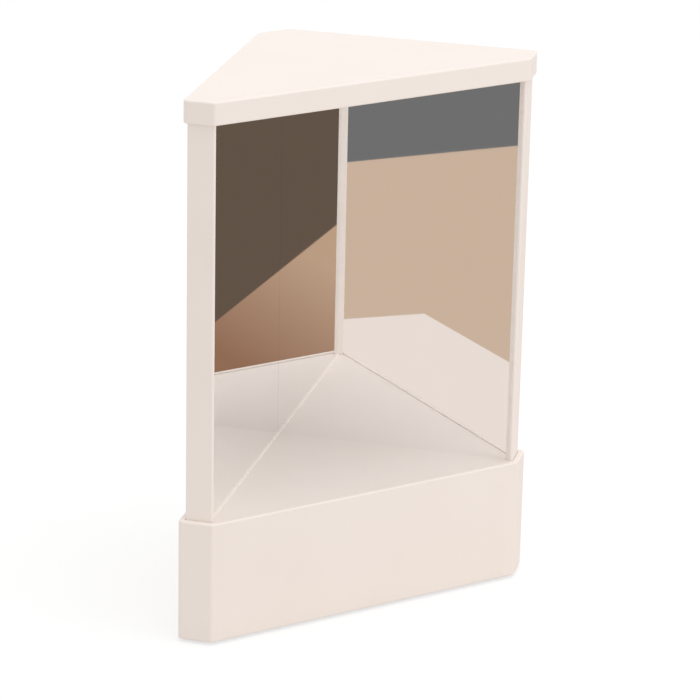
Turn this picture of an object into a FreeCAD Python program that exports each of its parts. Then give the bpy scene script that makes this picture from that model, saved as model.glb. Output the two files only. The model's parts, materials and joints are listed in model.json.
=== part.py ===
"""Desk-top non-reversing mirror: two mirrors at a right angle in a three-post frame.

The plan is a right-angled triangle with cut corners. Its long face is the open front,
and the two mirrors stand along the short faces, so that each half shows the other.
Every body is drawn with the front plane at y = 0, x = 0 on the plane of symmetry and
its own underside at z = 0, and its Placement then sets it in the common frame, whose
origin is the middle of the whole object's box, on the ground.
"""

import FreeCAD, Part
import Sketcher
import os

# Driving dimensions in millimetres
SIZES = {
    # Plan of the cap and the base
    "front_flat_width": 150.0,
    "corner_cut": 10.5,
    "rear_flat_width": 16.0,
    "corner_round": 2.0,
    # Heights of what shows from the front
    "base_height": 53.4,
    "opening_height": 170.4,
    "cap_height": 9.8,
    "foot_standoff": 1.2,
    # Rims of the base and the cap, which the posts stand inside, and the cap's step back
    "rim_thickness": 2.4,
    "cap_setback": 1.1,
    "body_clearance": 0.2,
    "edge_round": 0.8,
    # Base shell
    "deck_recess": 0.5,
    "deck_thickness": 3.0,
    "base_wall": 2.2,
    "boss_radius": 4.0,
    # Bottom cover
    "cover_thickness": 2.6,
    "cover_ledge": 0.9,
    "cover_clearance": 0.2,
    "cover_screw_corner_inset": 29.0,
    "cover_screw_front_inset": 16.0,
    "cover_screw_rear_inset": 32.0,
    # Feet
    "foot_radius": 6.0,
    "foot_recess": 0.8,
    "foot_clearance": 0.15,
    "foot_round": 0.6,
    "foot_corner_inset": 9.0,
    "foot_front_inset": 14.0,
    "foot_rear_inset": 14.0,
    # Posts
    "post_lip": 1.3,
    "post_side_length": 12.0,
    "rear_post_side_length": 13.0,
    "post_skin": 1.0,
    "post_edge_round": 0.8,
    "panel_groove": 5.0,
    "slide_clearance": 0.15,
    # Boards, tapes and glass
    "panel_thickness": 3.0,
    "tape_thickness": 2.5,
    "tape_width": 12.0,
    "tape_end_margin": 10.0,
    "glass_thickness": 3.0,
    "glass_cover": 1.5,
    "seam_gap": 0.02,
    # Cap and top plate
    "cap_wall": 2.5,
    "plate_thickness": 3.2,
    "cap_tape_thickness": 1.0,
    "cap_tape_length": 22.0,
    "cap_tape_width": 9.0,
    "cap_tape_corner_inset": 24.0,
    "cap_tape_front_inset": 18.0,
    "cap_tape_rear_inset": 34.0,
    # Screws, all of one kind
    "screw_radius": 1.2,
    "screw_length": 10.0,
    "screw_head_radius": 2.1,
    "screw_head_height": 1.6,
    "screw_socket_radius": 0.9,
    "screw_socket_depth": 0.9,
    "screw_clearance": 0.15,
    "screw_tip_gap": 1.0,
}

# Places of the tape strips along the free length of a board
TAPE_SHARES = (0.2, 0.8)

# The mirrors' angle to the open front, in degrees, which makes the right angle between them
SIDE_ANGLE = 45

# Points closer than this are one point
SAME_PLACE = 1e-5

# Sizes that follow from the driving ones
DERIVED = {
    "half_flat": "Sizes.front_flat_width / 2",
    "half_rear": "Sizes.rear_flat_width / 2",
    "depth": "Sizes.front_flat_width / 2 + 2 * Sizes.corner_cut - Sizes.rear_flat_width / 2",
    # The posts, boards and plate stand this far inside the base's outline
    "overhang": "Sizes.rim_thickness + Sizes.body_clearance",
    "side_corner_x": "Sizes.front_flat_width / 2 + Sizes.corner_cut"
                     " - (Sizes.rim_thickness + Sizes.body_clearance) * sqrt(2)",
    "side_length": "(Sizes.front_flat_width / 2 + Sizes.corner_cut - Sizes.rear_flat_width / 2"
                   " - Sizes.rim_thickness - Sizes.body_clearance) * sqrt(2)",
    # Depths into the side, from its outer face
    "slot_outer": "Sizes.post_skin",
    "slot_inner": "Sizes.post_skin + Sizes.panel_thickness + 2 * Sizes.slide_clearance",
    "panel_outer": "Sizes.post_skin + Sizes.slide_clearance",
    "panel_inner": "Sizes.post_skin + Sizes.slide_clearance + Sizes.panel_thickness",
    "glass_back": "Sizes.post_skin + Sizes.slide_clearance + Sizes.panel_thickness"
                  " + Sizes.tape_thickness",
    "glass_face": "Sizes.post_skin + Sizes.slide_clearance + Sizes.panel_thickness"
                  " + Sizes.tape_thickness + Sizes.glass_thickness",
    # Heights in the common frame
    "deck_top": "Sizes.foot_standoff + Sizes.base_height - Sizes.deck_recess",
    "deck_underside": "Sizes.foot_standoff + Sizes.base_height - Sizes.deck_recess"
                      " - Sizes.deck_thickness",
    "cap_underside": "Sizes.foot_standoff + Sizes.base_height + Sizes.opening_height",
    "post_top": "Sizes.foot_standoff + Sizes.base_height + Sizes.opening_height + Sizes.cap_height"
                " - Sizes.cap_wall - Sizes.cap_tape_thickness - Sizes.plate_thickness",
}

POST_LENGTH = "(Derived.post_top - Derived.deck_top)"
HOLLOW_HEIGHT = "(Sizes.base_height - Sizes.deck_recess - Sizes.deck_thickness)"
HOLE_RADIUS = "(Sizes.screw_radius + Sizes.screw_clearance)"
HEAD_HOLE_RADIUS = "(Sizes.screw_head_radius + Sizes.screw_clearance)"
HEAD_HOLE_DEPTH = "(Sizes.screw_head_height + Sizes.screw_clearance)"

doc = FreeCAD.newDocument("non_reversing_mirror")


def make_sheet(name, entries, prefix):
    """A spreadsheet with one named cell for each entry."""
    sheet = doc.addObject("Spreadsheet::Sheet", name)
    for row, (alias, content) in enumerate(entries.items(), start=1):
        sheet.set(f"A{row}", alias)
        sheet.set(f"B{row}", f"{prefix}{content}")
        sheet.setAlias(f"B{row}", alias)
    doc.recompute()
    return sheet


sizes = make_sheet("Sizes", SIZES, "")
make_sheet("Derived", DERIVED, "=")


def value(expression):
    """The present value of an expression, in millimetres."""
    return float(sizes.evalExpression(expression))


# Outlines and places, as pairs of expressions

def outline(inset):
    """The cut-cornered triangle, moved inwards by an inset."""
    front_x = f"Derived.half_flat - ({inset}) * (sqrt(2) - 1)"
    side_x = f"Derived.half_flat + Sizes.corner_cut - ({inset}) * sqrt(2)"
    rear_x = f"Derived.half_rear - ({inset}) * (sqrt(2) - 1)"
    rear_y = f"Derived.depth - ({inset})"
    return [
        (f"-({front_x})", inset),
        (front_x, inset),
        (side_x, "Sizes.corner_cut"),
        (rear_x, rear_y),
        (f"-({rear_x})", rear_y),
        (f"-({side_x})", "Sizes.corner_cut"),
    ]


def on_side(along, inwards, sign):
    """A place on one side: along its outer face from the front corner, and inwards from it."""
    x = f"{sign} * (Derived.side_corner_x - (({along}) + ({inwards})) / sqrt(2))"
    y = f"Sizes.corner_cut + (({along}) - ({inwards})) / sqrt(2)"
    return x, y


def along_at(x, inwards):
    """How far along a side a given distance from the plane of symmetry lies, at a depth."""
    return f"(Derived.side_corner_x - ({x})) * sqrt(2) - ({inwards})"


FRONT_GROOVE_END = "Sizes.post_side_length - Sizes.panel_groove"
REAR_POST_START = "Derived.side_length - Sizes.rear_post_side_length"
REAR_GROOVE_END = f"{REAR_POST_START} + Sizes.panel_groove"
POST_INNER_X = "Derived.half_flat - Derived.overhang * (sqrt(2) - 1) - Sizes.post_lip"
GLASS_END = f"{along_at(POST_INNER_X, 'Derived.glass_face')} - Sizes.glass_cover"
FRONT_SCREW_ALONG = f"({FRONT_GROOVE_END}) / 2"
REAR_SCREW_ALONG = f"({REAR_GROOVE_END} + Derived.side_length) / 2"
SCREW_INWARDS = "Derived.glass_back / 2"


def post_screw_places():
    """One screw for each front post and one for each leg of the rear post."""
    places = []
    for along in (FRONT_SCREW_ALONG, REAR_SCREW_ALONG):
        for sign in (-1, 1):
            places.append(on_side(along, SCREW_INWARDS, sign))
    return places


def corner_places(corner_inset, front_inset, rear_inset):
    """Three places: two behind the front corners and one before the rear face."""
    x = f"Derived.half_flat - {corner_inset}"
    return [
        (f"-({x})", front_inset),
        (x, front_inset),
        ("0", f"Derived.depth - {rear_inset}"),
    ]


COVER_SCREW_PLACES = corner_places(
    "Sizes.cover_screw_corner_inset",
    "Sizes.cover_screw_front_inset",
    "Sizes.cover_screw_rear_inset",
)
FOOT_PLACES = corner_places(
    "Sizes.foot_corner_inset", "Sizes.foot_front_inset", "Sizes.foot_rear_inset"
)
CAP_TAPE_PLACES = corner_places(
    "Sizes.cap_tape_corner_inset", "Sizes.cap_tape_front_inset", "Sizes.cap_tape_rear_inset"
)


# Sketches and features

def new_body(label, height):
    """A body whose underside is at a height in the common frame."""
    body = doc.addObject("PartDesign::Body", label)
    body.Label = label
    body.setExpression("Placement.Base.y", "-Derived.depth / 2")
    body.setExpression("Placement.Base.z", height)
    return body


def new_sketch(body, name, lift):
    """An empty level sketch, lifted above the body's underside."""
    sketch = body.newObject("Sketcher::SketchObject", f"{body.Name}_{name}")
    level = next(plane for plane in body.Origin.OriginFeatures if plane.Role == "XY_Plane")
    sketch.AttachmentSupport = (level, [""])
    sketch.MapMode = "FlatFace"
    sketch.setExpression("AttachmentOffset.Base.z", lift)
    return sketch


def pin_point(sketch, line, point, place):
    """Ties a point of the sketch to a place, measured from the sketch's origin."""
    for direction, expression in zip("XY", place):
        pin = Sketcher.Constraint(f"Distance{direction}", -1, 1, line, point, value(expression))
        index = sketch.addConstraint(pin)
        sketch.setExpression(f"Constraints[{index}]", expression)


def polygon_sketch(body, name, places, lift="0"):
    """A closed polygon with a corner at each place."""
    sketch = new_sketch(body, name, lift)
    corners = [FreeCAD.Vector(value(x), value(y), 0) for x, y in places]
    for start, end in zip(corners, corners[1:] + corners[:1]):
        sketch.addGeometry(Part.LineSegment(start, end), False)
    count = len(corners)
    for line, place in enumerate(places):
        sketch.addConstraint(Sketcher.Constraint("Coincident", line, 2, (line + 1) % count, 1))
        pin_point(sketch, line, 1, place)
    return sketch


def circle_sketch(body, name, places, radius, lift="0"):
    """A circle of one radius at each place."""
    sketch = new_sketch(body, name, lift)
    axis = FreeCAD.Vector(0, 0, 1)
    for circle, place in enumerate(places):
        centre = FreeCAD.Vector(value(place[0]), value(place[1]), 0)
        sketch.addGeometry(Part.Circle(centre, axis, value(radius)), False)
        pin_point(sketch, circle, 3, place)
        index = sketch.addConstraint(Sketcher.Constraint("Radius", circle, value(radius)))
        sketch.setExpression(f"Constraints[{index}]", radius)
    return sketch


def pad(body, sketch, length):
    """Adds material upwards from a sketch."""
    feature = body.newObject("PartDesign::Pad", f"{sketch.Name}_pad")
    feature.Profile = sketch
    feature.setExpression("Length", length)
    doc.recompute()
    return feature


def pocket(body, sketch, depth, upwards):
    """Removes material from a sketch, upwards or downwards, and checks that some went."""
    before = body.Shape.Volume
    feature = body.newObject("PartDesign::Pocket", f"{sketch.Name}_pocket")
    feature.Profile = sketch
    feature.setExpression("Length", depth)
    feature.Reversed = upwards
    doc.recompute()
    if not body.Shape.Volume < before:
        raise RuntimeError(f"{feature.Name} removes nothing")
    return feature


def edges_where(body, test):
    """Names of the body's edges whose end points all pass a test."""
    names = []
    for index, edge in enumerate(body.Tip.Shape.Edges, start=1):
        if test([vertex.Point for vertex in edge.Vertexes]):
            names.append(f"Edge{index}")
    return names


def near(first, second):
    """Whether two coordinates are the same place."""
    return abs(first - second) < SAME_PLACE


def upright(points):
    """Whether an edge stands straight up."""
    ends_differ = len(points) == 2 and not near(points[0].z, points[1].z)
    return ends_differ and near(points[0].x, points[1].x) and near(points[0].y, points[1].y)


def fillet(body, edges, radius):
    """Rounds named edges."""
    base = body.Tip
    feature = body.newObject("PartDesign::Fillet", f"{base.Name}_fillet")
    feature.Base = (base, edges)
    feature.setExpression("Radius", radius)
    doc.recompute()
    return feature


def round_outline(body, height):
    """Rounds a plain prism's upright corners, and then its top and bottom edges."""
    fillet(body, edges_where(body, upright), "Sizes.corner_round")
    ends = (0, value(height))

    def level(points):
        return any(all(near(point.z, end) for point in points) for end in ends)

    fillet(body, edges_where(body, level), "Sizes.edge_round")


def round_uprights(body, places):
    """Rounds the upright edges of a post that stand at the given places."""
    corners = [(value(x), value(y)) for x, y in places]

    def at_corner(points):
        at_place = any(near(points[0].x, x) and near(points[0].y, y) for x, y in corners)
        return upright(points) and at_place

    fillet(body, edges_where(body, at_corner), "Sizes.post_edge_round")


# Base

def base_shell():
    body = new_body("base_shell", "Sizes.foot_standoff")
    pad(body, polygon_sketch(body, "outline", outline("0")), "Sizes.base_height")
    round_outline(body, "Sizes.base_height")
    recess = polygon_sketch(body, "recess", outline("Sizes.rim_thickness"), "Sizes.base_height")
    pocket(body, recess, "Sizes.deck_recess", upwards=False)
    hollow = polygon_sketch(body, "hollow", outline("Sizes.base_wall"))
    pocket(body, hollow, HOLLOW_HEIGHT, upwards=True)
    seat = polygon_sketch(body, "cover_seat", outline("Sizes.base_wall - Sizes.cover_ledge"))
    pocket(body, seat, "Sizes.cover_thickness", upwards=True)
    lift = "Sizes.cover_thickness"
    bosses = circle_sketch(body, "bosses", COVER_SCREW_PLACES, "Sizes.boss_radius", lift)
    pad(body, bosses, f"{HOLLOW_HEIGHT} - Sizes.cover_thickness")
    pilots = circle_sketch(body, "pilots", COVER_SCREW_PLACES, HOLE_RADIUS, lift)
    pocket(body, pilots, "Sizes.screw_length + Sizes.screw_tip_gap", upwards=True)
    holes = circle_sketch(body, "deck_holes", post_screw_places(), HOLE_RADIUS, HOLLOW_HEIGHT)
    pocket(body, holes, "Sizes.deck_thickness", upwards=True)
    return body


def bottom_cover():
    body = new_body("bottom_cover", "Sizes.foot_standoff")
    inset = "Sizes.base_wall - Sizes.cover_ledge + Sizes.cover_clearance"
    pad(body, polygon_sketch(body, "outline", outline(inset)), "Sizes.cover_thickness")
    heads = circle_sketch(body, "heads", COVER_SCREW_PLACES, HEAD_HOLE_RADIUS)
    pocket(body, heads, HEAD_HOLE_DEPTH, upwards=True)
    holes = circle_sketch(body, "holes", COVER_SCREW_PLACES, HOLE_RADIUS)
    pocket(body, holes, "Sizes.cover_thickness", upwards=True)
    foot_radius = "Sizes.foot_radius + Sizes.foot_clearance"
    seats = circle_sketch(body, "foot_seats", FOOT_PLACES, foot_radius)
    pocket(body, seats, "Sizes.foot_recess", upwards=True)
    return body


def foot(label, place):
    body = new_body(label, "0")
    disc = circle_sketch(body, "disc", [place], "Sizes.foot_radius")
    pad(body, disc, "Sizes.foot_standoff + Sizes.foot_recess")
    rim = edges_where(body, lambda points: all(near(point.z, 0) for point in points))
    fillet(body, rim, "Sizes.foot_round")
    return body


# Frame

def groove_places(start, end, sign):
    """The board's groove in a post: out of the outer skin, round the slot, to the glass's back."""
    back = "Derived.glass_back - Sizes.slide_clearance"
    return [
        on_side(start, "0", sign),
        on_side(start, "Derived.slot_outer", sign),
        on_side(end, "Derived.slot_outer", sign),
        on_side(end, "Derived.slot_inner", sign),
        on_side(start, "Derived.slot_inner", sign),
        on_side(start, back, sign),
    ]


def drill_post(body, places):
    """Pilot holes for the screws at both ends of a post."""
    depth = "Sizes.screw_length + Sizes.screw_tip_gap - Sizes.deck_thickness"
    pocket(body, circle_sketch(body, "foot_pilots", places, HOLE_RADIUS), depth, upwards=True)
    head_seat = f"(Sizes.plate_thickness - {HEAD_HOLE_DEPTH})"
    depth = f"Sizes.screw_length + Sizes.screw_tip_gap - {head_seat}"
    pilots = circle_sketch(body, "top_pilots", places, HOLE_RADIUS, POST_LENGTH)
    pocket(body, pilots, depth, upwards=False)


def front_post(label, sign):
    body = new_body(label, "Derived.deck_top")
    back = "Derived.glass_back - Sizes.slide_clearance"
    glass_end = f"{GLASS_END} - Sizes.slide_clearance"
    # The foam tape presses the glass against the lip
    face = "Derived.glass_face"
    front_corner_x = "Derived.half_flat - Derived.overhang * (sqrt(2) - 1)"
    shown = [
        (f"{sign} * ({POST_INNER_X})", "Derived.overhang"),
        (f"{sign} * ({front_corner_x})", "Derived.overhang"),
        on_side("0", "0", sign),
    ]
    groove = groove_places("Sizes.post_side_length", FRONT_GROOVE_END, sign)
    glass_slot = [
        on_side(glass_end, back, sign),
        on_side(glass_end, face, sign),
        on_side(along_at(POST_INNER_X, face), face, sign),
    ]
    pad(body, polygon_sketch(body, "profile", shown + groove + glass_slot), POST_LENGTH)
    round_uprights(body, shown)
    drill_post(body, [on_side(FRONT_SCREW_ALONG, SCREW_INWARDS, sign)])
    return body


def rear_post():
    body = new_body("rear_post", "Derived.deck_top")
    back = "Derived.glass_back - Sizes.slide_clearance"
    shown = [on_side("Derived.side_length", "0", sign) for sign in (1, -1)]
    right = groove_places(REAR_POST_START, REAR_GROOVE_END, 1)
    left = groove_places(REAR_POST_START, REAR_GROOVE_END, -1)
    seam = [on_side(along_at("0", back), back, 1)]
    places = shown[:1] + right + seam + left[::-1] + shown[1:]
    pad(body, polygon_sketch(body, "profile", places), POST_LENGTH)
    round_uprights(body, shown)
    drill_post(body, [on_side(REAR_SCREW_ALONG, SCREW_INWARDS, sign) for sign in (-1, 1)])
    return body


def side_slab(label, start, end, outer, inner, sign):
    """A straight upright slab along one side, clear of the top plate."""
    body = new_body(label, "Derived.deck_top")
    places = [
        on_side(start, outer, sign),
        on_side(start, inner, sign),
        on_side(end(inner), inner, sign),
        on_side(end(outer), outer, sign),
    ]
    profile = polygon_sketch(body, "profile", places)
    pad(body, profile, f"{POST_LENGTH} - Sizes.slide_clearance")
    return body


def back_panel(label, sign):
    start = f"{FRONT_GROOVE_END} + Sizes.slide_clearance"
    end = f"{REAR_GROOVE_END} - Sizes.slide_clearance"
    return side_slab(label, start, lambda _: end, "Derived.panel_outer", "Derived.panel_inner", sign)


def mirror(label, sign):
    """First-surface mirror glass, mitred at the seam."""

    def mitre(inwards):
        return along_at("Sizes.seam_gap / 2", inwards)

    return side_slab(label, GLASS_END, mitre, "Derived.glass_back", "Derived.glass_face", sign)


# Groups of separate solids

def group(label, members):
    """One sub-part of several separate solids."""
    compound = doc.addObject("Part::Compound", label)
    compound.Label = label
    compound.Links = members
    compound.setExpression("Placement.Base.y", "-Derived.depth / 2")
    return compound


def put(primitive, x, y, z):
    """Binds a primitive's place."""
    for axis, expression in zip("xyz", (x, y, z)):
        primitive.setExpression(f"Placement.Base.{axis}", expression)


def cylinder(name, radius, height, place, z):
    primitive = doc.addObject("Part::Cylinder", name)
    primitive.setExpression("Radius", radius)
    primitive.setExpression("Height", height)
    put(primitive, *place, z)
    return primitive


def screw(name, place, seat, upwards):
    """A socket-head screw whose head bears on a seat and whose shank points up or down."""
    head_z = f"{seat} - Sizes.screw_head_height" if upwards else seat
    shank_z = seat if upwards else f"{seat} - Sizes.screw_length"
    socket_z = head_z if upwards else f"{seat} + Sizes.screw_head_height - Sizes.screw_socket_depth"
    head = cylinder(f"{name}_head", "Sizes.screw_head_radius", "Sizes.screw_head_height", place, head_z)
    shank = cylinder(f"{name}_shank", "Sizes.screw_radius", "Sizes.screw_length", place, shank_z)
    solid = doc.addObject("Part::Fuse", f"{name}_solid")
    solid.Base = head
    solid.Tool = shank
    socket = doc.addObject("Part::Prism", f"{name}_socket")
    socket.Polygon = 6
    socket.setExpression("Circumradius", "Sizes.screw_socket_radius")
    socket.setExpression("Height", "Sizes.screw_socket_depth")
    put(socket, *place, socket_z)
    finished = doc.addObject("Part::Cut", name)
    finished.Base = solid
    finished.Tool = socket
    return finished


def screw_group(label, places, seat, upwards):
    screws = [screw(f"{label}_{index}", place, seat, upwards) for index, place in enumerate(places)]
    return group(label, screws)


def mirror_tapes(label, sign):
    """Upright foam strips between a board and its glass."""
    start = "Sizes.post_side_length"
    free_length = f"({REAR_POST_START} - {start})"
    strips = []
    for index, share in enumerate(TAPE_SHARES):
        strip = doc.addObject("Part::Box", f"{label}_{index}")
        strip.setExpression("Length", "Sizes.tape_width")
        strip.setExpression("Width", "Sizes.tape_thickness")
        strip.setExpression("Height", f"{POST_LENGTH} - 2 * Sizes.tape_end_margin")
        middle = f"{start} + {free_length} * {share}"
        # The box's own corner is its rear one on the right-hand side and its front one on the left
        corner = f"{middle} + {sign} * Sizes.tape_width / 2"
        x, y = on_side(corner, "Derived.glass_back", sign)
        put(strip, x, y, "Derived.deck_top + Sizes.tape_end_margin")
        strip.Placement.Rotation = FreeCAD.Rotation(FreeCAD.Vector(0, 0, 1), -SIDE_ANGLE * sign)
        strips.append(strip)
    return group(label, strips)


# Top

def top_plate():
    body = new_body("top_plate", "Derived.post_top")
    pad(body, polygon_sketch(body, "outline", outline("Derived.overhang")), "Sizes.plate_thickness")
    places = post_screw_places()
    heads = circle_sketch(body, "heads", places, HEAD_HOLE_RADIUS, "Sizes.plate_thickness")
    pocket(body, heads, HEAD_HOLE_DEPTH, upwards=False)
    holes = circle_sketch(body, "holes", places, HOLE_RADIUS, "Sizes.plate_thickness")
    pocket(body, holes, "Sizes.plate_thickness", upwards=False)
    return body


def cap_tapes():
    pads = []
    for index, (x, y) in enumerate(CAP_TAPE_PLACES):
        tape = doc.addObject("Part::Box", f"cap_tape_{index}")
        tape.setExpression("Length", "Sizes.cap_tape_length")
        tape.setExpression("Width", "Sizes.cap_tape_width")
        tape.setExpression("Height", "Sizes.cap_tape_thickness")
        corner_x = f"{x} - Sizes.cap_tape_length / 2"
        corner_y = f"{y} - Sizes.cap_tape_width / 2"
        put(tape, corner_x, corner_y, "Derived.post_top + Sizes.plate_thickness")
        pads.append(tape)
    return group("cap_tapes", pads)


def top_cap():
    body = new_body("top_cap", "Derived.cap_underside")
    pad(body, polygon_sketch(body, "outline", outline("Sizes.cap_setback")), "Sizes.cap_height")
    round_outline(body, "Sizes.cap_height")
    inside = polygon_sketch(body, "inside", outline("Sizes.rim_thickness"))
    pocket(body, inside, "Sizes.cap_height - Sizes.cap_wall", upwards=True)
    return body


# The whole mirror

def build():
    cover_seat = f"Sizes.foot_standoff + {HEAD_HOLE_DEPTH}"
    plate_seat = f"Derived.post_top + Sizes.plate_thickness - {HEAD_HOLE_DEPTH}"
    parts = [base_shell(), bottom_cover(), top_plate(), top_cap(), cap_tapes(), rear_post()]
    for label, place in zip(("front_left_foot", "front_right_foot", "rear_foot"), FOOT_PLACES):
        parts.append(foot(label, place))
    for side, sign in (("left", -1), ("right", 1)):
        parts.append(front_post(f"{side}_post", sign))
        parts.append(back_panel(f"{side}_back_panel", sign))
        parts.append(mirror_tapes(f"{side}_mirror_tapes", sign))
        parts.append(mirror(f"{side}_mirror", sign))
    parts.append(screw_group("bottom_cover_screws", COVER_SCREW_PLACES, cover_seat, upwards=True))
    parts.append(screw_group("post_screws", post_screw_places(), "Derived.deck_underside", upwards=True))
    parts.append(screw_group("top_plate_screws", post_screw_places(), plate_seat, upwards=False))
    doc.recompute()
    return parts


def check(parts):
    """Stops if any object failed, or any sub-part has no sound solid."""
    for item in doc.Objects:
        if "Invalid" in item.State or "Error" in item.State:
            raise RuntimeError(f"{item.Name} failed: {item.State}")
    for part in parts:
        shape = part.Shape
        if shape.isNull() or not shape.isValid() or not shape.Solids:
            raise RuntimeError(f"{part.Label} has no valid solid")


def write(parts):
    os.makedirs("parts", exist_ok=True)
    for part in parts:
        part.Shape.exportStep(f"parts/{part.Label}.step")
        print(part.Label, len(part.Shape.Solids), round(part.Shape.Volume), part.Shape.BoundBox)


finished_parts = build()
check(finished_parts)
write(finished_parts)
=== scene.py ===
"""Looks of the desk-top non-reversing mirror: finishes, thin trim, stage, light and camera.

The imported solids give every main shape. This script gives them their finishes, and adds the
bead along the foot of the left glass and the ringed undersides of the rubber feet.
"""

import json
import math

import bpy
from mathutils import Euler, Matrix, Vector


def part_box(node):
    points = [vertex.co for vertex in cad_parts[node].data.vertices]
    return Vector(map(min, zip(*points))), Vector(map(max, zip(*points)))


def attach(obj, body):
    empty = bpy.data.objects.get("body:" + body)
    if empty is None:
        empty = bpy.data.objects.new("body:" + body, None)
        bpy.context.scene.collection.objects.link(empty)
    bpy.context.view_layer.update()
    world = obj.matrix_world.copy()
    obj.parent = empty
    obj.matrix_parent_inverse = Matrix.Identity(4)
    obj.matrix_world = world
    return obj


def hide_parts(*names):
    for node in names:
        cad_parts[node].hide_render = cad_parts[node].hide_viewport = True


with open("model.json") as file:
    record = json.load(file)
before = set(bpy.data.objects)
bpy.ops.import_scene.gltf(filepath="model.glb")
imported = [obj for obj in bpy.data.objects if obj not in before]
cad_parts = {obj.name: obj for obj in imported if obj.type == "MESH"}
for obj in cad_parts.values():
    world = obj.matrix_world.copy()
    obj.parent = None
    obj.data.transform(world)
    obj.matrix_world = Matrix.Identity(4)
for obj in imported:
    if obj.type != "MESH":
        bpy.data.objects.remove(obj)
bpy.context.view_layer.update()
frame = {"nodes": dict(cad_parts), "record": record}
NODES = frame["nodes"]

# Lengths below are written in millimetres, angles in degrees and lamps in watts
MM = 0.001

# Sizes that the solids have too
GLASS_THICKNESS = 3.0
GLASS_COVER = 1.5

# Bead of sealant in the corner between the left glass and the deck
BEAD_RADIUS = 1.0
BEAD_SINK = 0.05
BEAD_FACETS = 9

# Rings moulded into the underside of the rubber feet
RING_RADIUS = 0.35
RING_FACETS = 10
RING_COUNT = 4
FOOT_FACETS = 64

# Camera, at the photograph's angle
CAMERA_PLACE = (-694.2, -1191.5, 612.9)
CAMERA_HEADING = 30.78
CAMERA_DIP = 20.23
CAMERA_ROLL = 1.24
CAMERA_LENS = 176.9
CAMERA_SENSOR = 36.0

# Light: a pale sky all round, a large soft lamp overhead and a low one from the front right
SKY_STRENGTH = 0.88
LAMP_DISTANCE = 2000.0
LAMP_SIZE = 1200.0
LAMPS = {
    "overhead_lamp": ((0.07, -0.19, 0.975), 8.1),
    "front_lamp": ((0.6, -0.76, 0.22), 5.9),
}

# Floor, which the mirrors don't see, and the boards below it, which only the mirrors see.
# Reaches run from the middle to either side, and slopes forwards for each step sideways.
FLOOR_SIDE = 12000.0
FLOOR_SHADE_SHARE = 0.35
BOARD_LEVEL = -60.0
LAYER = 0.05
ROOM_REACH = 1500.0
ROOM_REAR = 400.0
BENCH_REACH = 482.0
BENCH_REAR_REACH = 776.0
TABLE_REACH = 375.5
TABLE_REAR_REACH = 564.0
TABLE_FRONT = 275.0
FRONT_START = 88.0
FRONT_SLOPE = 0.665
TAN_START = 226.0
TAN_SLOPE = 0.81
TAN_REACH = 600.0
# Painted shading on the tan board: its shaded tone up to the first reach, its lit tone from the second
TAN_SHADED_AT = 173.0
TAN_LIT_AT = 302.0


# Helpers

def srgb(code):
    """Linear colour of an sRGB hex code."""
    channels = [int(code[place:place + 2], 16) / 255 for place in (1, 3, 5)]
    linear = [c / 12.92 if c <= 0.04045 else ((c + 0.055) / 1.055) ** 2.4 for c in channels]
    return (*linear, 1.0)


def per_size(millimetres):
    """Texture scale that makes one cell of a pattern as wide as a real size."""
    return 1 / (millimetres * MM)


def add(tree, kind, settings=None, values=None, links=None):
    """Adds a node: its settings, the values of its sockets, and the sockets that feed it."""
    node = tree.nodes.new(kind)
    for name, setting in (settings or {}).items():
        setattr(node, name, setting)
    for socket, value in (values or {}).items():
        node.inputs[socket].default_value = value
    for socket, source in (links or {}).items():
        tree.links.new(source, node.inputs[socket])
    return node


def new_material(name):
    """An empty material, its node tree and its output node."""
    material = bpy.data.materials.new(name)
    material.use_nodes = True
    tree = material.node_tree
    tree.nodes.clear()
    return material, tree, add(tree, "ShaderNodeOutputMaterial")


# Finishes

def moulded_abs():
    """Warm white ABS, injection moulded in a spark-eroded tool: an even, fine matt skin."""
    material, tree, output = new_material("moulded_abs_warm_white")
    place = add(tree, "ShaderNodeTexCoord").outputs["Object"]
    # Slow drift of tone where the melt cooled unevenly
    drift = add(tree, "ShaderNodeTexNoise", values={"Scale": per_size(45), "Detail": 2.0},
                links={"Vector": place})
    tone = add(tree, "ShaderNodeMix", {"data_type": "RGBA"},
               {"A": srgb("#F2E8E1"), "B": srgb("#EEE3DB")}, {"Factor": drift.outputs["Fac"]})
    # Patches of slightly smoother skin
    skin = add(tree, "ShaderNodeTexNoise", values={"Scale": per_size(7), "Detail": 3.0},
               links={"Vector": place})
    roughness = add(tree, "ShaderNodeMapRange", values={"To Min": 0.40, "To Max": 0.52},
                    links={"Value": skin.outputs["Fac"]})
    # The tool's grit is about 0.1 mm and is drawn coarser so that it shows
    grit = add(tree, "ShaderNodeTexNoise", values={"Scale": per_size(0.5), "Detail": 2.0},
               links={"Vector": place})
    relief = add(tree, "ShaderNodeBump", values={"Strength": 0.12, "Distance": 0.02 * MM},
                 links={"Height": grit.outputs["Fac"]})
    shader = add(tree, "ShaderNodeBsdfPrincipled", values={"IOR": 1.53},
                 links={"Base Color": tone.outputs["Result"], "Roughness": roughness.outputs["Result"],
                        "Normal": relief.outputs["Normal"]})
    tree.links.new(shader.outputs["BSDF"], output.inputs["Surface"])
    return material


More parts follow.
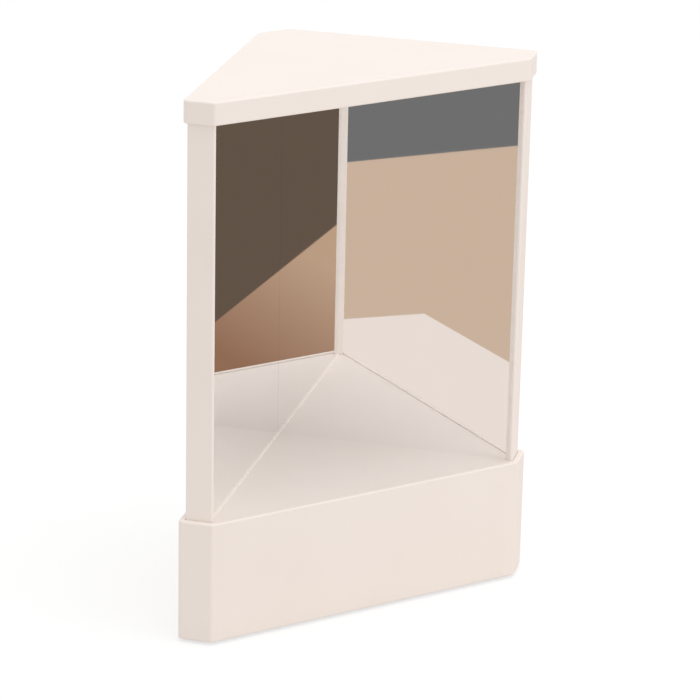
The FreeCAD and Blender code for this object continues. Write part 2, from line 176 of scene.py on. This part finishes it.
def extruded_board():
    """Polystyrene sheet, extruded and sawn: smoother than the mouldings, with faint draw lines."""
    material, tree, output = new_material("extruded_polystyrene_board")
    place = add(tree, "ShaderNodeTexCoord").outputs["Object"]
    upright = add(tree, "ShaderNodeMapping", values={"Scale": (1.0, 1.0, 0.01)}, links={"Vector": place})
    lines = add(tree, "ShaderNodeTexNoise", values={"Scale": per_size(1.2), "Detail": 2.0},
                links={"Vector": upright.outputs["Vector"]})
    tone = add(tree, "ShaderNodeMix", {"data_type": "RGBA"},
               {"A": srgb("#EDE1D8"), "B": srgb("#E8DBD1")}, {"Factor": lines.outputs["Fac"]})
    roughness = add(tree, "ShaderNodeMapRange", values={"To Min": 0.34, "To Max": 0.46},
                    links={"Value": lines.outputs["Fac"]})
    relief = add(tree, "ShaderNodeBump", values={"Strength": 0.10, "Distance": 0.02 * MM},
                 links={"Height": lines.outputs["Fac"]})
    shader = add(tree, "ShaderNodeBsdfPrincipled", values={"IOR": 1.59},
                 links={"Base Color": tone.outputs["Result"], "Roughness": roughness.outputs["Result"],
                        "Normal": relief.outputs["Normal"]})
    tree.links.new(shader.outputs["BSDF"], output.inputs["Surface"])
    return material


def silvered_glass():
    """Float glass silvered on its front: a clear, almost neutral image."""
    material, tree, output = new_material("front_silvered_float_glass")
    place = add(tree, "ShaderNodeTexCoord").outputs["Object"]
    # Polishing haze, far too faint to blur the image
    haze = add(tree, "ShaderNodeTexNoise", values={"Scale": per_size(18), "Detail": 3.0},
               links={"Vector": place})
    tone = add(tree, "ShaderNodeMix", {"data_type": "RGBA"},
               {"A": srgb("#FEFEFE"), "B": srgb("#FBFBFB")}, {"Factor": haze.outputs["Fac"]})
    roughness = add(tree, "ShaderNodeMapRange", values={"To Min": 0.004, "To Max": 0.02},
                    links={"Value": haze.outputs["Fac"]})
    shader = add(tree, "ShaderNodeBsdfPrincipled", values={"Metallic": 1.0},
                 links={"Base Color": tone.outputs["Result"], "Roughness": roughness.outputs["Result"]})
    tree.links.new(shader.outputs["BSDF"], output.inputs["Surface"])
    return material


def foam_tape():
    """Closed-cell polyethylene foam, slit into tape: pale grey, dull, with small cells on the cut."""
    material, tree, output = new_material("closed_cell_foam_tape")
    place = add(tree, "ShaderNodeTexCoord").outputs["Object"]
    cells = add(tree, "ShaderNodeTexVoronoi", values={"Scale": per_size(0.6)}, links={"Vector": place})
    tone = add(tree, "ShaderNodeMix", {"data_type": "RGBA"},
               {"A": srgb("#C9C8C5"), "B": srgb("#E2E1DE")}, {"Factor": cells.outputs["Distance"]})
    relief = add(tree, "ShaderNodeBump", values={"Strength": 0.5, "Distance": 0.15 * MM},
                 links={"Height": cells.outputs["Distance"]})
    shader = add(tree, "ShaderNodeBsdfPrincipled", values={"Roughness": 0.85},
                 links={"Base Color": tone.outputs["Result"], "Normal": relief.outputs["Normal"]})
    tree.links.new(shader.outputs["BSDF"], output.inputs["Surface"])
    return material


def moulded_rubber():
    """Nitrile rubber, compression moulded: near black, dull, with a bloom of lighter dust."""
    material, tree, output = new_material("moulded_nitrile_rubber")
    place = add(tree, "ShaderNodeTexCoord").outputs["Object"]
    bloom = add(tree, "ShaderNodeTexNoise", values={"Scale": per_size(2.5), "Detail": 4.0},
                links={"Vector": place})
    tone = add(tree, "ShaderNodeMix", {"data_type": "RGBA"},
               {"A": srgb("#1B1A19"), "B": srgb("#2C2A28")}, {"Factor": bloom.outputs["Fac"]})
    roughness = add(tree, "ShaderNodeMapRange", values={"To Min": 0.58, "To Max": 0.78},
                    links={"Value": bloom.outputs["Fac"]})
    shader = add(tree, "ShaderNodeBsdfPrincipled", values={"IOR": 1.52},
                 links={"Base Color": tone.outputs["Result"], "Roughness": roughness.outputs["Result"]})
    tree.links.new(shader.outputs["BSDF"], output.inputs["Surface"])
    return material


def plated_steel():
    """Steel screws, bright zinc plated: cool grey metal with the plating's fine spangle."""
    material, tree, output = new_material("zinc_plated_steel")
    place = add(tree, "ShaderNodeTexCoord").outputs["Object"]
    spangle = add(tree, "ShaderNodeTexNoise", values={"Scale": per_size(0.4), "Detail": 3.0},
                  links={"Vector": place})
    tone = add(tree, "ShaderNodeMix", {"data_type": "RGBA"},
               {"A": srgb("#B9BBBD"), "B": srgb("#D3D4D4")}, {"Factor": spangle.outputs["Fac"]})
    roughness = add(tree, "ShaderNodeMapRange", values={"To Min": 0.24, "To Max": 0.40},
                    links={"Value": spangle.outputs["Fac"]})
    shader = add(tree, "ShaderNodeBsdfPrincipled", values={"Metallic": 1.0},
                 links={"Base Color": tone.outputs["Result"], "Roughness": roughness.outputs["Result"]})
    tree.links.new(shader.outputs["BSDF"], output.inputs["Surface"])
    return material


def tooled_sealant():
    """Neutral-cure silicone, run in and smoothed by hand: the frame's white with a slight wet gloss."""
    material, tree, output = new_material("tooled_silicone_sealant")
    place = add(tree, "ShaderNodeTexCoord").outputs["Object"]
    waves = add(tree, "ShaderNodeTexNoise", values={"Scale": per_size(4), "Detail": 2.0},
                links={"Vector": place})
    tone = add(tree, "ShaderNodeMix", {"data_type": "RGBA"},
               {"A": srgb("#F5ECE5"), "B": srgb("#F0E5DC")}, {"Factor": waves.outputs["Fac"]})
    roughness = add(tree, "ShaderNodeMapRange", values={"To Min": 0.22, "To Max": 0.36},
                    links={"Value": waves.outputs["Fac"]})
    shader = add(tree, "ShaderNodeBsdfPrincipled", values={"IOR": 1.41},
                 links={"Base Color": tone.outputs["Result"], "Roughness": roughness.outputs["Result"]})
    tree.links.new(shader.outputs["BSDF"], output.inputs["Surface"])
    return material


FINISHES = {
    "frame_plastic": moulded_abs(),
    "board_plastic": extruded_board(),
    "mirror_glass": silvered_glass(),
    "foam_tape": foam_tape(),
    "foot_rubber": moulded_rubber(),
    "screw_steel": plated_steel(),
}


def dress_nodes():
    """Gives every solid the finish of its slot in the record."""
    for subpart in frame["record"]["subparts"]:
        node = NODES[subpart["node"]]
        finish = FINISHES[subpart["material_slot"]]
        if not node.material_slots:
            node.data.materials.append(finish)
        for place in node.material_slots:
            place.material = finish


# Pieces grown by geometry nodes

def new_tree(name, inputs):
    """A geometry tree with named inputs, and its input and output nodes."""
    tree = bpy.data.node_groups.new(name, "GeometryNodeTree")
    for label, kind in inputs.items():
        tree.interface.new_socket(label, in_out="INPUT", socket_type=f"NodeSocket{kind}")
    tree.interface.new_socket("Geometry", in_out="OUTPUT", socket_type="NodeSocketGeometry")
    return tree, add(tree, "NodeGroupInput"), add(tree, "NodeGroupOutput")


def end_tree(tree, geometry, given, output):
    """Closes a tree: real geometry in place of instances, and its material."""
    real = add(tree, "GeometryNodeRealizeInstances", links={"Geometry": geometry})
    painted = add(tree, "GeometryNodeSetMaterial",
                  links={"Geometry": real.outputs["Geometry"], "Material": given.outputs["Material"]})
    tree.links.new(painted.outputs["Geometry"], output.inputs["Geometry"])


def grow(name, tree, points, edges, values):
    """A plain mesh piece, grown by a tree from a few points."""
    seed = bpy.data.meshes.new(name)
    seed.from_pydata(points, edges, [])
    piece = bpy.data.objects.new(name, seed)
    bpy.context.scene.collection.objects.link(piece)
    modifier = piece.modifiers.new(tree.name, "NODES")
    modifier.node_group = tree
    for socket in tree.interface.items_tree:
        if socket.in_out == "INPUT" and socket.name in values:
            modifier[socket.identifier] = values[socket.name]
    grown = piece.evaluated_get(bpy.context.evaluated_depsgraph_get())
    piece.data = bpy.data.meshes.new_from_object(grown)
    piece.modifiers.clear()
    return piece


def bead_tree():
    """A quarter-round bead that follows a line."""
    inputs = {"Geometry": "Geometry", "Radius": "Float", "Facets": "Int", "Material": "Material"}
    tree, given, output = new_tree("quarter_round_bead", inputs)
    line = add(tree, "GeometryNodeMeshToCurve", links={"Mesh": given.outputs["Geometry"]})
    upright = add(tree, "GeometryNodeSetCurveNormal", {"mode": "Z_UP"},
                  links={"Curve": line.outputs["Curve"]})
    quarter = math.radians(90)
    section = add(tree, "GeometryNodeCurveArc", {"mode": "RADIUS"},
                  {"Start Angle": 3 * quarter, "Sweep Angle": quarter, "Connect Center": True},
                  {"Resolution": given.outputs["Facets"], "Radius": given.outputs["Radius"]})
    bead = add(tree, "GeometryNodeCurveToMesh", values={"Fill Caps": True},
               links={"Curve": upright.outputs["Curve"], "Profile Curve": section.outputs["Curve"]})
    # Smooth shading would darken the edges that it shares with the hidden sides
    faceted = add(tree, "GeometryNodeSetShadeSmooth", values={"Shade Smooth": False},
                  links={0: bead.outputs["Mesh"]})
    end_tree(tree, faceted.outputs[0], given, output)
    return tree


def glass_foot_line():
    """Where the left glass's face meets the deck, from its post to the seam, a little inside both."""
    low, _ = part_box("left_mirror")
    slant = MM * math.sqrt(0.5)
    end = Vector((low.x + GLASS_THICKNESS * slant, low.y, low.z))
    shown = end + Vector((GLASS_COVER, GLASS_COVER, 0)) * slant
    seam = Vector((0, end.y - end.x, end.z))
    inwards = Vector((-BEAD_SINK * slant, BEAD_SINK * slant, -BEAD_SINK * MM))
    return [shown + inwards, seam + inwards]


def mirror_foot_bead(tree):
    """The bead along the foot of the left glass."""
    values = {"Radius": BEAD_RADIUS * MM, "Facets": BEAD_FACETS, "Material": tooled_sealant()}
    piece = grow("mirror_foot_bead", tree, glass_foot_line(), [(0, 1)], values)
    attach(piece, "root")


def foot_tree():
    """A round pad with rings on its underside, set on each point."""
    inputs = {
        "Geometry": "Geometry", "Pad Radius": "Float", "Pad Height": "Float", "Ring Radius": "Float",
        "Ring Count": "Int", "Ring Facets": "Int", "Pad Facets": "Int", "Material": "Material",
    }
    tree, given, output = new_tree("ringed_rubber_foot", inputs)
    sizes = given.outputs
    reach = add(tree, "ShaderNodeMath", {"operation": "SUBTRACT"},
                links={0: sizes["Pad Radius"], 1: sizes["Ring Radius"]})
    pitch = add(tree, "ShaderNodeMath", {"operation": "DIVIDE"},
                links={0: reach.outputs["Value"], 1: sizes["Ring Count"]})
    order = add(tree, "GeometryNodeInputIndex")
    step = add(tree, "ShaderNodeMath", {"operation": "ADD"}, {1: 1.0}, {0: order.outputs["Index"]})
    size = add(tree, "ShaderNodeMath", {"operation": "MULTIPLY"},
               links={0: step.outputs["Value"], 1: pitch.outputs["Value"]})
    circle = add(tree, "GeometryNodeCurvePrimitiveCircle", values={"Radius": 1.0},
                 links={"Resolution": sizes["Pad Facets"]})
    lift = add(tree, "ShaderNodeCombineXYZ", links={"Z": sizes["Ring Radius"]})
    spots = add(tree, "GeometryNodePoints",
                links={"Count": sizes["Ring Count"], "Position": lift.outputs["Vector"]})
    circles = add(tree, "GeometryNodeInstanceOnPoints",
                  links={"Points": spots.outputs["Points"], "Instance": circle.outputs["Curve"],
                         "Scale": size.outputs["Value"]})
    rounds = add(tree, "GeometryNodeRealizeInstances", links={"Geometry": circles.outputs["Instances"]})
    section = add(tree, "GeometryNodeCurvePrimitiveCircle",
                  links={"Resolution": sizes["Ring Facets"], "Radius": sizes["Ring Radius"]})
    rings = add(tree, "GeometryNodeCurveToMesh",
                links={"Curve": rounds.outputs["Geometry"], "Profile Curve": section.outputs["Curve"]})
    height = add(tree, "ShaderNodeMath", {"operation": "SUBTRACT"},
                 links={0: sizes["Pad Height"], 1: sizes["Ring Radius"]})
    disc = add(tree, "GeometryNodeMeshCylinder",
               links={"Vertices": sizes["Pad Facets"], "Radius": sizes["Pad Radius"],
                      "Depth": height.outputs["Value"]})
    half = add(tree, "ShaderNodeMath", {"operation": "MULTIPLY_ADD"}, {1: 0.5},
               {0: height.outputs["Value"], 2: sizes["Ring Radius"]})
    rise = add(tree, "ShaderNodeCombineXYZ", links={"Z": half.outputs["Value"]})
    raised = add(tree, "GeometryNodeTransform",
                 links={"Geometry": disc.outputs["Mesh"], "Translation": rise.outputs["Vector"]})
    foot = add(tree, "GeometryNodeJoinGeometry")
    for part in (rings.outputs["Mesh"], raised.outputs["Geometry"]):
        tree.links.new(part, foot.inputs["Geometry"])
    feet = add(tree, "GeometryNodeInstanceOnPoints",
               links={"Points": sizes["Geometry"], "Instance": foot.outputs["Geometry"]})
    end_tree(tree, feet.outputs["Instances"], given, output)
    return tree


def rubber_feet(tree):
    """The three feet, in one piece of three separate pads."""
    names = ("front_left_foot", "front_right_foot", "rear_foot")
    boxes = [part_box(name) for name in names]
    points = [((low.x + high.x) / 2, (low.y + high.y) / 2, low.z) for low, high in boxes]
    low, high = boxes[0]
    values = {
        "Pad Radius": (high.x - low.x) / 2, "Pad Height": high.z - low.z, "Ring Radius": RING_RADIUS * MM,
        "Ring Count": RING_COUNT, "Ring Facets": RING_FACETS, "Pad Facets": FOOT_FACETS,
        "Material": FINISHES["foot_rubber"],
    }
    piece = grow("ringed_feet", tree, points, [], values)
    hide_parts(*names)
    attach(piece, "root")


# Stage

def seen_ray(tree):
    """One where a camera, mirror or glass looks, and nothing where light only bounces."""
    path = add(tree, "ShaderNodeLightPath").outputs
    first = add(tree, "ShaderNodeMath", {"operation": "MAXIMUM"},
                links={0: path["Is Camera Ray"], 1: path["Is Glossy Ray"]})
    both = add(tree, "ShaderNodeMath", {"operation": "MAXIMUM"},
               links={0: first.outputs["Value"], 1: path["Is Transmission Ray"]})
    return both.outputs["Value"]


def pale_floor():
    """A white floor that keeps a soft shadow: part of its white is its own, the rest is lit."""
    material, tree, output = new_material("white_studio_floor")
    lit = add(tree, "ShaderNodeBsdfDiffuse", values={"Color": (*[FLOOR_SHADE_SHARE] * 3, 1)})
    own = add(tree, "ShaderNodeEmission", values={"Strength": 1 - FLOOR_SHADE_SHARE})
    seen = add(tree, "ShaderNodeAddShader", links={0: lit.outputs["BSDF"], 1: own.outputs["Emission"]})
    bounce = add(tree, "ShaderNodeBsdfDiffuse", values={"Color": srgb("#E8E6E4")})
    mixed = add(tree, "ShaderNodeMixShader",
                links={0: seen_ray(tree), 1: bounce.outputs["BSDF"], 2: seen.outputs["Shader"]})
    tree.links.new(mixed.outputs["Shader"], output.inputs["Surface"])
    return material


def painted_board(name, code, end_code=None):
    """Self-lit paint for a board of the stage: it glows as written whatever the lamps do, and may grow
    lighter to both sides as painted shading.

    Light that has already met a dull surface passes through it, so the boards are seen in
    the mirrors but don't tint what stands before them.
    """
    material, tree, output = new_material(name)
    place = add(tree, "ShaderNodeTexCoord").outputs["Object"]
    parts = add(tree, "ShaderNodeSeparateXYZ", links={"Vector": place})
    aside = add(tree, "ShaderNodeMath", {"operation": "ABSOLUTE"}, links={0: parts.outputs["X"]})
    # Painted shading: the colour runs from its shaded tone near the middle to its lit tone further out
    lit_share = add(tree, "ShaderNodeMapRange",
                values={"From Min": TAN_SHADED_AT * MM, "From Max": TAN_LIT_AT * MM},
                links={"Value": aside.outputs["Value"]})
    tone = add(tree, "ShaderNodeMix", {"data_type": "RGBA"},
               {"A": srgb(code), "B": srgb(end_code or code)}, {"Factor": lit_share.outputs["Result"]})
    paint = add(tree, "ShaderNodeEmission", links={"Color": tone.outputs["Result"]})
    nothing = add(tree, "ShaderNodeBsdfTransparent")
    depth = add(tree, "ShaderNodeLightPath").outputs["Diffuse Depth"]
    mixed = add(tree, "ShaderNodeMixShader",
                links={0: depth, 1: paint.outputs["Emission"], 2: nothing.outputs["BSDF"]})
    tree.links.new(mixed.outputs["Shader"], output.inputs["Surface"])
    return material


def stage_sheet(name, corners, material):
    """A flat sheet of the stage, by its corners in millimetres."""
    mesh = bpy.data.meshes.new(name)
    mesh.from_pydata([Vector(corner) * MM for corner in corners], [], [tuple(range(len(corners)))])
    mesh.materials.append(material)
    sheet = bpy.data.objects.new(name, mesh)
    bpy.context.scene.collection.objects.link(sheet)
    return sheet


def mirror_only(sheet):
    """Leaves a sheet to the mirrors alone: the camera doesn't see it, and it gives no light or shade."""
    sheet.visible_camera = False
    sheet.visible_diffuse = False
    sheet.visible_shadow = False


def tapered(front_reach, rear_reach, front, rear):
    """Corners of a level board that is as wide to the left as to the right."""
    return [(-front_reach, -front), (front_reach, -front), (rear_reach, rear), (-rear_reach, rear)]


def chevron(start, slope, reach):
    """An edge, from left to right, that runs forwards from the middle to both sides."""
    end = -start - slope * reach
    return [(-reach, end), (0, -start), (reach, end)]


def build_floor():
    half = FLOOR_SIDE / 2
    corners = [(x, y, -LAYER) for x, y in tapered(half, half, half, half)]
    floor = stage_sheet("floor", corners, pale_floor())
    floor.visible_glossy = False


def build_boards():
    """Boards from the lowest layer to the highest, then the walls at their far edges."""
    grey = painted_board("grey_paint", "#6F6F6F")
    brown = painted_board("brown_paint", "#635448")
    brown_rear = chevron(FRONT_START, FRONT_SLOPE, ROOM_REACH)
    brown_front = [(ROOM_REACH, -ROOM_REACH), (-ROOM_REACH, -ROOM_REACH)]
    tan_rear = chevron(FRONT_START, FRONT_SLOPE, TAN_REACH)
    tan_front = chevron(TAN_START, TAN_SLOPE, TAN_REACH)[::-1]
    boards = [
        ("grey_board", tapered(ROOM_REACH, ROOM_REACH, ROOM_REACH, ROOM_REAR), grey),
        ("beige_board", tapered(BENCH_REACH, BENCH_REAR_REACH, ROOM_REACH, ROOM_REAR),
         painted_board("beige_paint", "#CBB39E")),
        ("table_board", tapered(TABLE_REACH, TABLE_REAR_REACH, TABLE_FRONT, ROOM_REAR),
         painted_board("warm_white_paint", "#EADED6")),
        ("front_brown_board", brown_rear + brown_front, brown),
        # The tan board's two colours are its painted shaded tone and its painted lit tone
        ("front_tan_board", tan_rear + tan_front, painted_board("tan_paint", "#926D56", "#BE9F86")),
    ]
    for layer, (name, outline, material) in enumerate(boards):
        height = BOARD_LEVEL + layer * LAYER
        mirror_only(stage_sheet(name, [(x, y, height) for x, y in outline], material))
    walls = [
        ("front_wall", (-ROOM_REACH, -ROOM_REACH), (ROOM_REACH, -ROOM_REACH), brown),
        ("left_wall", (-ROOM_REACH, -ROOM_REACH), (-ROOM_REACH, ROOM_REAR), grey),
        ("right_wall", (ROOM_REACH, -ROOM_REACH), (ROOM_REACH, ROOM_REAR), grey),
    ]
    for name, start, end, material in walls:
        foot = [(*start, BOARD_LEVEL), (*end, BOARD_LEVEL)]
        head = [(*end, ROOM_REACH), (*start, ROOM_REACH)]
        mirror_only(stage_sheet(name, foot + head, material))


def build_light():
    world = bpy.data.worlds.new("pale_sky")
    bpy.context.scene.world = world
    world.use_nodes = True
    tree = world.node_tree
    tree.nodes.clear()
    strength = add(tree, "ShaderNodeMix", {"data_type": "FLOAT"}, {"A": SKY_STRENGTH, "B": 1.0},
                   {"Factor": seen_ray(tree)})
    sky = add(tree, "ShaderNodeBackground", values={"Color": srgb("#FFFFFF")},
              links={"Strength": strength.outputs["Result"]})
    output = add(tree, "ShaderNodeOutputWorld")
    tree.links.new(sky.outputs["Background"], output.inputs["Surface"])
    for name, (direction, watts) in LAMPS.items():
        data = bpy.data.lights.new(name, "AREA")
        data.shape = "DISK"
        data.size = LAMP_SIZE * MM
        data.energy = watts
        lamp = bpy.data.objects.new(name, data)
        outwards = Vector(direction).normalized()
        lamp.location = outwards * LAMP_DISTANCE * MM
        lamp.rotation_euler = outwards.to_track_quat("Z", "Y").to_euler()
        bpy.context.scene.collection.objects.link(lamp)


def build_camera():
    data = bpy.data.cameras.new("photo_camera")
    data.lens = CAMERA_LENS
    data.sensor_width = CAMERA_SENSOR
    camera = bpy.data.objects.new("photo_camera", data)
    camera.location = Vector(CAMERA_PLACE) * MM
    heading = Euler((0, 0, -math.radians(CAMERA_HEADING))).to_matrix()
    dip = Euler((math.radians(90 - CAMERA_DIP), 0, 0)).to_matrix()
    roll = Euler((0, 0, math.radians(CAMERA_ROLL))).to_matrix()
    camera.rotation_euler = (heading @ dip @ roll).to_euler()
    bpy.context.scene.collection.objects.link(camera)
    bpy.context.scene.camera = camera


dress_nodes()
mirror_foot_bead(bead_tree())
rubber_feet(foot_tree())
build_floor()
build_boards()
build_light()
build_camera()
bpy.context.scene.view_settings.view_transform = "Standard"
